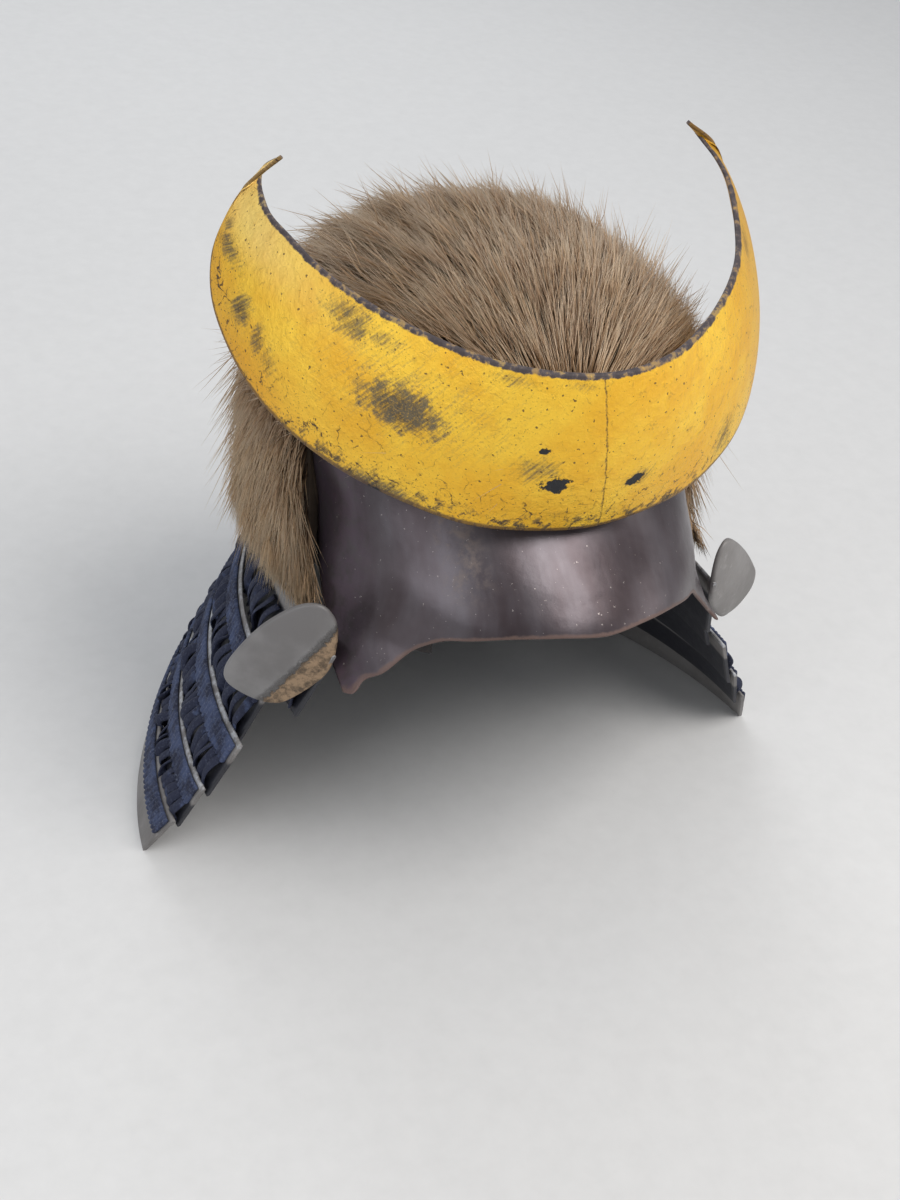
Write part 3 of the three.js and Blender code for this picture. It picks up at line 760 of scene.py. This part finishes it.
front, back, plan, to_edge = crest_sheets()
loop, faces = rolled_strip(front, back)
crest = lay_piece(
    "crescent", loop, faces, worn_gold(), ["front_crest"],
    plans={"Plan": round_both_ways(plan), "Edges": round_both_ways(to_edge)}, flat_from=1,
)
face_out(crest)
print("crescent length:", round(float(plan[0, -1, 0] - plan[0, 0, 0])), "mm along its middle")

# %% [markdown]
# ## Small fittings
# A post holds the crescent to the brow plate, a band under the pelt carries the guard, and a small
# tab is fixed inside the brow plate. The post and the tab are bevelled blocks, since plain boxes
# have edges too sharp for worn iron, and the band is one more strip.

# %% Post, tab and band
BLOCKS = [  # piece, node that it stands for, size, place, turn in degrees
    ("crest_post_block", "crest_post", (26, 9, 10), (0, -117.6, 92), 0),
    ("inner_tab_strip", "inner_tab", (10, 2.4, 17), (-72, -107, 22), -38),
]


def bevelled_block(name, node, size, place, turn, bevel=0.7):
    work = bmesh.new()
    bmesh.ops.create_cube(work, size=1.0)
    bmesh.ops.scale(work, vec=[v * MM for v in size], verts=work.verts)
    bmesh.ops.bevel(work, geom=work.edges[:], offset=bevel * MM, segments=3, affect="EDGES")
    turned = Quaternion((0, 0, 1), math.radians(turn)).to_matrix()
    bmesh.ops.rotate(work, matrix=turned, verts=work.verts)
    bmesh.ops.translate(work, vec=[v * MM for v in place], verts=work.verts)
    mesh = bpy.data.meshes.new(name)
    work.to_mesh(mesh)
    work.free()
    mesh.materials.append(IRON)
    piece = bpy.data.objects.new(name, mesh)
    bpy.context.scene.collection.objects.link(piece)
    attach(piece, "root")
    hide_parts(node)


for block in BLOCKS:
    bevelled_block(*block)

BAND = {"wall": 2.0, "offset": 0.8, "top_z": 22.0, "foot_z": -6.0, "front": -30.0}


def band_sheet(inset):
    """A collar whose top lies on the bowl and whose foot lies inside the first lame."""
    head = LAMES["neck_lame_1"]["head"]
    shorter = BAND["front"] - head[3]
    low = guard_points("neck_lame_1", SHARES, 0.0, GUARD["wall"] + BAND["offset"] + inset, shorter)
    around = np.arctan2(low[..., 0] / BOWL["half"], -low[..., 1] / BOWL["reach"])
    high = bowl_points(around, 0.0, -BAND["offset"] - BAND["wall"] + inset)
    down = np.linspace(0, 1, 5)[:, None, None]
    sheet = high + (low - high) * down
    sheet[..., 2] = BAND["top_z"] + (BAND["foot_z"] - BAND["top_z"]) * down[..., 0]
    return sheet


loop, faces = rolled_strip(band_sheet(0.0), band_sheet(BAND["wall"]))
collar = lay_piece(
    "waist_collar", loop, faces, IRON, ["waist_band"], flat_from=1
)
face_out(collar)
print("fittings:", len(BLOCKS) + 1)

# %% [markdown]
# ## The lacing
# Flat silk cords join the lames. Below each lame's head they are stitched into a tight ribbed row;
# above the next lame they hang free in loose ruffles. The rows are one ribbed band each. The free
# cords are made one by one, each a flattened tube with its own sag and lean.

# %% Stitched rows
GAP = 0.4
LACING = {
    "thick": 1.5, "row_top": 1.5, "row_height": 11.0, "tuck": 4.0, "rib": 0.9, "ribs": 150, "sag": 3.0,
}


def navy_cord(name, pale):
    """Silk cord, dark blue where it is sheltered and faded towards pale grey-blue where pale is high."""
    cord = Finish(name)
    place = cord.place()
    cloud = cord.noise(place, 70.0, 5.0, 0.65)
    fine = cord.noise(place, 700.0, 3.0, 0.6)
    faded = cloud.step(0.60 - pale * 0.2, 0.72 - pale * 0.1)
    tone = cord.mix(faded, (0.008, 0.012, 0.036), (0.045, 0.064, 0.135))
    tone = cord.mix(fine.step(0.5, 0.8) * (0.2 + pale * 0.4), tone, (0.17, 0.20, 0.29))
    return cord.done(Base_Color=tone, Roughness=0.8, Normal=cord.bump(fine, 0.0006))


ROW_CORD, FREE_CORD = navy_cord("faded_cord", 1.0), navy_cord("navy_cord", 0.2)
for upper, lower in zip(list(LAMES)[:-1], list(LAMES)[1:]):
    down = (LACING["row_top"] + LACING["row_height"] * np.linspace(0, 1, 4)[:, None]) / lame_height(lower)
    along = np.arange(LACING["ribs"] * 4 + 1) / 4
    share = (along / LACING["ribs"] * 2 - 1)[None, :]
    rib = LACING["rib"] * np.abs(np.sin(along * math.pi)) ** 0.6
    face = guard_points(lower, share, down, -GAP - LACING["thick"] - rib[None, :], shorter=3.0)
    back = guard_points(lower, share, down, -GAP, shorter=3.0)
    loop, faces = rolled_strip(face, back)
    name = "lacing_row_" + lower[-1]
    face_out(lay_piece(name + "_cords", loop, faces, ROW_CORD, [name], flat_from=1))
print("ribbed rows: 4")

# %% Free cords
CORD = {"pitch": 6.8, "wide": 6.0, "thick": 1.7, "rings": 11, "sides": 8}


def guard_length(name, down, shorter):
    line = guard_points(name, np.linspace(-1, 1, 400), down, 0.0, shorter)
    return np.linalg.norm(np.diff(line, axis=0), axis=1).sum()


def free_cords(upper, lower, rng):
    """Every cord of one drop: a path down the upper lame's surface that bulges outwards, and a
    flattened section carried along it."""
    height = lame_height(upper)
    top = (LACING["row_top"] + LACING["row_height"] + GAP) / height
    foot = (LAMES[upper]["head"][0] - LAMES[lower]["head"][0] + LACING["tuck"]) / height
    count = int(guard_length(upper, 0.5, 4.0) / CORD["pitch"])
    share = (np.arange(count) + 0.5) / count * 2 - 1
    fall = np.linspace(0, 1, CORD["rings"])[None, :]
    lean = rng.normal(0, 0.25, (count, 1)) * np.sin(math.pi * fall) / count * 2
    sway = rng.normal(0, 0.18, (count, 1)) * np.sin(2 * math.pi * fall) / count * 2
    sag = LACING["sag"] + rng.uniform(-1.4, 2.0, (count, 1))
    bulge = np.sin(math.pi * np.minimum(1, 1.15 * fall)) ** 0.8 * sag
    down = np.broadcast_to(top + (foot - top) * fall, (count, CORD["rings"]))
    at = np.clip(share[:, None] + lean + sway, -1, 1)
    centre = guard_points(upper, at, down, -GAP - CORD["thick"] / 2 - bulge, shorter=4.0)
    beside = guard_points(upper, at + 0.002, down, -GAP - CORD["thick"] / 2 - bulge, shorter=4.0)
    side = unit(beside - centre)
    run = unit(np.gradient(centre, axis=1))
    out = unit(np.cross(side, run))
    turn = rng.normal(0, 0.45, (count, 1)) + rng.normal(0, 0.35, (count, 1)) * fall
    turn = turn[..., None]
    side, out = side * np.cos(turn) + out * np.sin(turn), out * np.cos(turn) - side * np.sin(turn)
    angle = (np.arange(CORD["sides"]) / CORD["sides"] * 2 * math.pi)[None, None, :, None]
    wide, thick = CORD["wide"] / 2, CORD["thick"] / 2
    section = np.cos(angle) * wide * side[:, :, None] + np.sin(angle) * thick * out[:, :, None]
    ring = centre[:, :, None] + section
    tube = quads(CORD["rings"], CORD["sides"], ring_columns=True)
    per_cord = CORD["rings"] * CORD["sides"]
    ends = np.array([np.arange(CORD["sides"])[::-1], np.arange(CORD["sides"]) + per_cord - CORD["sides"]])
    first = (np.arange(count) * per_cord)[:, None, None]
    faces = [(tube + first).reshape(-1, 4), (ends + first).reshape(-1, CORD["sides"])]
    return ring.reshape(-1, 3), faces, count


rng = np.random.default_rng(5)
for upper, lower in zip(list(LAMES)[:-1], list(LAMES)[1:]):
    points, faces, count = free_cords(upper, lower, rng)
    name = "lacing_drop_" + upper[-1]
    face_out(lay_piece(name + "_cords", points, faces, FREE_CORD, [name]))
    print(name, "cords:", count)

# %% [markdown]
# ## The pelt
# Hair covers the bowl. It falls away from a whorl above the brow, over the crown and down to a hem
# on the guard. Combed strand by strand it would be millions of hairs, so each hair here is a
# slender spike thicker than a real one, and hairs that grow close together lean to one tuft.

# %% The pelt's form
FUR = {
    "middle_y": -5.0, "middle_z": 40.0, "half": 118.0, "front": 110.0, "back": 140.0, "top_z": 180.0,
    "round": 2.4, "lock_depth": 1.6, "least_depth": 4.0, "whorl": (0.0, -100.0, 112.0),
}
SHOULDER = [(0, 102), (60, 106), (89, 106), (180, 90)]  # degrees from the front, height
HEM = [(66, 12), (80, 8), (100, 3), (130, -3), (180, -3)]
BROW_SPREAD, SHOULDER_START, HEM_START = 88.5, 88.5, 66.0
BACKING = {"on_bowl": 3.2, "on_lame": 2.6, "lame_top": 45.0}


def inside_hair(p):
    lengthwise = np.where(p[..., 1] < FUR["middle_y"], FUR["front"], FUR["back"])
    lift = np.maximum(0, p[..., 2] - FUR["middle_z"]) / (FUR["top_z"] - FUR["middle_z"])
    n = FUR["round"]
    plan = np.abs(p[..., 0] / FUR["half"]) ** n + np.abs((p[..., 1] - FUR["middle_y"]) / lengthwise) ** n
    return plan + lift**n < 1


def inside_backing(p):
    """Within the bowl or, lower down, within the cone of the first lame, both grown a little."""
    on_bowl, on_lame = BACKING["on_bowl"], BACKING["on_lame"]
    plan = np.hypot(p[..., 0] / (BOWL["half"] + on_bowl), p[..., 1] / (BOWL["reach"] + on_bowl))
    lift = np.maximum(0, p[..., 2]) / (BOWL["height"] + on_bowl)
    in_bowl = plan ** BOWL["round"] + lift ** BOWL["round"] < 1
    head, foot = (LAMES["neck_lame_1"][key] for key in ("head", "foot"))
    down = (head[0] - p[..., 2]) / (head[0] - foot[0])
    half, back, roundness = (head[i] + (foot[i] - head[i]) * down for i in (1, 2, 4))
    rear = np.maximum(0, p[..., 1] - GUARD["middle_y"]) / (back - GUARD["middle_y"] + on_lame)
    in_lame = np.abs(p[..., 0] / (half + on_lame)) ** roundness + rear**roundness < 1
    return in_bowl | (in_lame & (p[..., 2] <= BACKING["lame_top"]))


def travel(inside, start, direction):
    """How far each ray goes before it leaves a form, found by halving."""
    near = np.zeros(start.shape[:-1])
    far = near + 300
    for _ in range(24):
        middle = (near + far) / 2
        within = inside(start + direction * middle[..., None])
        near, far = np.where(within, middle, near), np.where(within, far, middle)
    return near


def height_at(table, degrees):
    from_front = np.minimum(np.abs(degrees), 360 - np.abs(degrees))
    return np.interp(from_front, *np.array(table, float).T)


def level_direction(degrees):
    a = np.radians(degrees)
    return np.stack([np.sin(a), -np.cos(a), np.zeros_like(a)], -1)


def pelt_rays(shoulder, hem, fall, hang):
    """Start and direction of the ray for each place: above the shoulder the fall goes from the whorl
    (0) to the shoulder (1), seen from the head's middle; below it the ray is level."""
    middle = np.array([0, FUR["middle_y"], FUR["middle_z"]])
    shoulder_z = height_at(SHOULDER, shoulder)
    axis = np.zeros((*shoulder.shape, 3)) + middle
    axis[..., 2] = shoulder_z
    outward = level_direction(shoulder)
    end = unit(axis + outward * travel(inside_hair, axis, outward)[..., None] - middle)
    whorl = unit(np.array(FUR["whorl"]) - middle)
    angle = np.arccos(np.clip(end @ whorl, -1, 1))[..., None]
    share = np.minimum(fall, 1)[..., None]
    over = (whorl * np.sin((1 - share) * angle) + end * np.sin(share * angle)) / np.sin(angle)
    z = shoulder_z + (height_at(HEM, hem) - shoulder_z) * hang
    low = axis.copy()
    low[..., 2] = z
    aside = level_direction(shoulder + (hem - shoulder) * hang)
    hanging = (hang > 0)[..., None]
    return np.where(hanging, low, middle), np.where(hanging, aside, over)


def pelt_surface(shoulder, hem, fall, hang):
    """Outer point and backing point of the pelt, whose locks ripple its outside."""
    start, direction = pelt_rays(shoulder, hem, fall, hang)
    depth = travel(inside_backing, start, direction)
    from_front = np.minimum(np.abs(shoulder), 360 - np.abs(shoulder))
    row = 8 * fall + 4 * hang
    lock = np.sin(from_front * 0.64 + np.sin(row * 1.1 + from_front * 0.1))
    relief = FUR["lock_depth"] * np.minimum(1, row / 4) * lock
    least = depth + FUR["least_depth"]
    height = np.maximum(np.maximum(travel(inside_hair, start, direction), least) + relief, least)
    return start + direction * height[..., None], start + direction * depth[..., None]


def pelt_columns(brow_count, hang_count):
    brow = np.linspace(-BROW_SPREAD, BROW_SPREAD, brow_count)
    t = np.linspace(0, 1, hang_count)[1:-1]
    shoulder = SHOULDER_START + (360 - 2 * SHOULDER_START) * t
    hem = HEM_START + (360 - 2 * HEM_START) * t
    edge = np.array([SHOULDER_START, 360 - SHOULDER_START])
    hem_edge = np.array([HEM_START, 360 - HEM_START])
    return (
        np.concatenate([brow, edge[:1], shoulder, edge[1:]]),
        np.concatenate([brow, hem_edge[:1], hem, hem_edge[1:]]),
        np.concatenate([np.zeros(brow_count, bool), np.ones(hang_count, bool)]),
    )


# %% [markdown]
# ## The hide
# Under the hair lies the animal's skin, a little inside the pelt's form. It could be left out where
# hair hides it, but gaps between hairs would show the bowl, so a dark hide is made first.

# %% Hide
SKIN_DEPTH = 9.0


def pelt_hide():
    hide = Finish("pelt_hide")
    cloud = hide.noise(hide.place(), 120.0, 4.0)
    tone = hide.mix(cloud, (0.035, 0.024, 0.016), (0.085, 0.058, 0.038))
    return hide.done(Base_Color=tone, Roughness=0.9)


shoulder, hem, hangs = pelt_columns(61, 121)
rows_fall = np.concatenate([np.linspace(0, 1, 33), np.ones(16)])[:, None]
rows_hang = np.concatenate([np.zeros(33), np.linspace(0, 1, 17)[1:]])[:, None] * hangs[None, :]
grid = np.broadcast_arrays(shoulder[None, :], hem[None, :], rows_fall, rows_hang)
outer, backing = pelt_surface(*grid)
thick = np.linalg.norm(outer - backing, axis=-1, keepdims=True)
hide_outer = backing + (outer - backing) * (np.maximum(thick - SKIN_DEPTH, 2.0) / thick)
loop = np.concatenate([hide_outer, backing[::-1]])
for row in (0, -1):
    loop[row] = loop[row].mean(axis=0)
hide_faces = [quads(*loop.shape[:2], ring_columns=True)]
skin = lay_piece("pelt_hide", loop, hide_faces, pelt_hide(), ["fur_cover"])
face_out(skin, weld=True)
print("hide faces:", len(skin.data.polygons))

# %% [markdown]
# ## The hairs
# Roots are scattered evenly by area. Each hair leaves the hide at a slant, bends to lie along the
# fall and leans to the middle of its tuft. A particle system would do as well, but arrays give the
# same hairs on every run and real closed shapes.

# %% Hairs
HAIR = {  # radii at root and bend, tuft size and length in mm; slants in degrees
    "count": 57000, "root": 0.33, "bend": 0.24, "clump": 5.5, "length": 36.0, "slant": 24, "settle": 17,
    "stray_share": 0.04, "bend_gather": 0.25, "tip_gather": 0.40, "seed": 21,
}
EDGE_HAIR = 3.0  # degrees that the hair grows past the front edge of the hanging part


def scatter_roots(rng):
    """Places on the pelt picked evenly by area: outer point, fall direction, outward direction, the
    distance left to the end of the column, and how deep the pelt is there."""
    charts = []
    columns = np.linspace(-180, 180, 241)[None, :]
    fall = np.linspace(0.0, 1, 65)[:, None]
    charts.append(np.broadcast_arrays(columns, columns, fall, np.zeros((65, 241))))
    t = np.linspace(0, 1, 161)[None, :]
    first, last = SHOULDER_START - EDGE_HAIR, HEM_START - EDGE_HAIR
    around = first + (360 - 2 * first) * t
    ends = last + (360 - 2 * last) * t
    hang = np.linspace(0.002, 1, 33)[:, None]
    charts.append(np.broadcast_arrays(around, ends, np.ones((33, 161)), hang))
    sampled = []
    surfaces = [pelt_surface(*(np.array(part) for part in chart)) for chart in charts]
    areas = []
    for outside, _ in surfaces:
        across = outside[:-1, 1:] - outside[:-1, :-1]
        down = outside[1:, :-1] - outside[:-1, :-1]
        areas.append(np.linalg.norm(np.cross(across, down), axis=-1))
    total = sum(area.sum() for area in areas)
    for (outside, inner), area, chart in zip(surfaces, areas, charts):
        number = int(HAIR["count"] * area.sum() / total)
        cell = rng.choice(area.size, number, p=(area / area.sum()).ravel())
        r, c = np.unravel_index(cell, area.shape)
        u, v = rng.random((2, number, 1))

        def at(values):
            top = values[r, c] * (1 - u) + values[r, c + 1] * u
            bottom = values[r + 1, c] * (1 - u) + values[r + 1, c + 1] * u
            return top * (1 - v) + bottom * v

        flow = np.gradient(outside, axis=0)
        side = np.gradient(outside, axis=1)
        normal = np.cross(side, flow)
        middle = np.array([0, FUR["middle_y"], FUR["middle_z"]])
        normal = unit(normal * np.sign((normal * (outside - middle)).sum(-1, keepdims=True)))
        lengths = np.linalg.norm(np.diff(outside, axis=0), axis=-1)
        to_end = np.cumsum(lengths[::-1], axis=0)[::-1]
        remaining = np.concatenate([to_end, np.zeros((1, outside.shape[1]))])
        if chart is charts[0]:
            hanging = np.abs(chart[0]) > SHOULDER_START
            remaining = remaining + np.where(hanging, 90.0, 0.0)
        thick = np.linalg.norm(outside - inner, axis=-1)
        measures = [at(remaining[..., None]), at(thick[..., None])]
        sampled.append([at(outside), unit(at(flow)), unit(at(normal)), *measures])
    return [np.concatenate(parts) for parts in zip(*sampled)]


rng = np.random.default_rng(HAIR["seed"])
outside, flow, normal, remaining, thick = scatter_roots(rng)
count = len(outside)
root = outside - normal * np.minimum(SKIN_DEPTH + 1.0, thick - 1.5)
warped = root + 5 * np.sin(root[:, [1, 2, 0]] / 11.0) + 3 * np.sin(root[:, [2, 0, 1]] / 4.7)
cells = np.floor(warped / HAIR["clump"]).astype(np.int64)
_, tuft = np.unique(cells @ np.array([1, 1000, 1000000]), return_inverse=True)
tuft = tuft.ravel()
tufts = tuft.max() + 1
members = np.bincount(tuft)[:, None]
centre = np.stack([np.bincount(tuft, root[:, i]) for i in range(3)], -1) / members
sway, rise, long = rng.normal(0, 0.14, tufts), rng.normal(0, 0.06, tufts), rng.uniform(0.8, 1.15, tufts)
tint = rng.random(tufts)

own_sway = (sway[tuft] + rng.normal(0, 0.13, count))[:, None]
stray = rng.random(count) < HAIR["stray_share"]
raised = (0.22 * stray)[:, None]
lift = np.radians(HAIR["slant"]) + raised + (rise[tuft] + rng.normal(0, 0.06, count))[:, None]
length = (HAIR["length"] * (1 + 0.3 * stray) * long[tuft] * rng.uniform(0.75, 1.15, count))[:, None]
length = np.minimum(length, remaining + rng.uniform(3, 12, (count, 1)))
side = np.cross(normal, flow)
heading = unit(flow + side * np.tan(own_sway))
gather = centre[tuft] - root
leave = heading * np.cos(lift) + normal * np.sin(lift)
lie = unit(heading + normal * np.tan(lift - np.radians(HAIR["settle"])))
bend = root + length * 0.45 * leave + gather * HAIR["bend_gather"]
tip = bend + length * 0.55 * lie + gather * HAIR["tip_gather"]
across = unit(np.cross(tip - root, normal))
up = unit(np.cross(across, tip - root))
angle = (np.arange(3) / 3 * 2 * math.pi + math.pi / 2)[None, :, None]
ring = np.cos(angle) * across[:, None] + np.sin(angle) * up[:, None]
low_ring, bend_ring = root[:, None] + ring * HAIR["root"], bend[:, None] + ring * HAIR["bend"]
points = np.concatenate([low_ring, bend_ring, tip[:, None]], 1)
sheltered = np.interp(root[:, 2], [60, 115], [0.3, 0])
tint = np.clip(0.5 * tint[tuft] + 0.3 * rng.random(count) + sheltered, 0, 1)
height = np.array([0, 0, 0, 0.45, 0.45, 0.45, 1.0])
strand_plan = np.stack(np.broadcast_arrays(tint[:, None], height[None, :]), -1)


def pelt_hair():
    """Each hair runs from a dark root to a pale tip; its tint shifts it from grey-brown to golden."""
    hair = Finish("pelt_hair")
    tint, along, _ = hair.axes(hair.plan("OFBake"))
    middle = hair.mix(tint, (0.31, 0.205, 0.130), (0.50, 0.325, 0.175))
    pale = hair.mix(tint, (0.66, 0.52, 0.39), (0.92, 0.74, 0.50))
    tone = hair.mix(along.step(0.0, 0.55), (0.06, 0.038, 0.022), middle)
    tone = hair.mix(along.step(0.5, 1.0), tone, pale)
    return hair.done(Base_Color=tone, Roughness=0.55)


HAIR_FINISH = pelt_hair()
ORDER = np.argsort(np.arctan2(root[:, 0], root[:, 1]), kind="stable")
TRIANGLES = np.array([[0, 2, 1], [3, 4, 6], [4, 5, 6], [5, 3, 6]])
SIDES = np.array([[0, 1, 4, 3], [1, 2, 5, 4], [2, 0, 3, 5]])
for number, group in enumerate(np.array_split(ORDER, 4), 1):
    first = (np.arange(len(group)) * 7)[:, None, None]
    faces = [(SIDES + first).reshape(-1, 4), (TRIANGLES + first).reshape(-1, 3)]
    lay_piece(
        f"pelt_hair_{number}", points[group], faces, HAIR_FINISH, ["fur_cover"],
        plans={"OFBake": strand_plan[group]},
    )
print("hairs:", count, "in", tufts, "tufts")
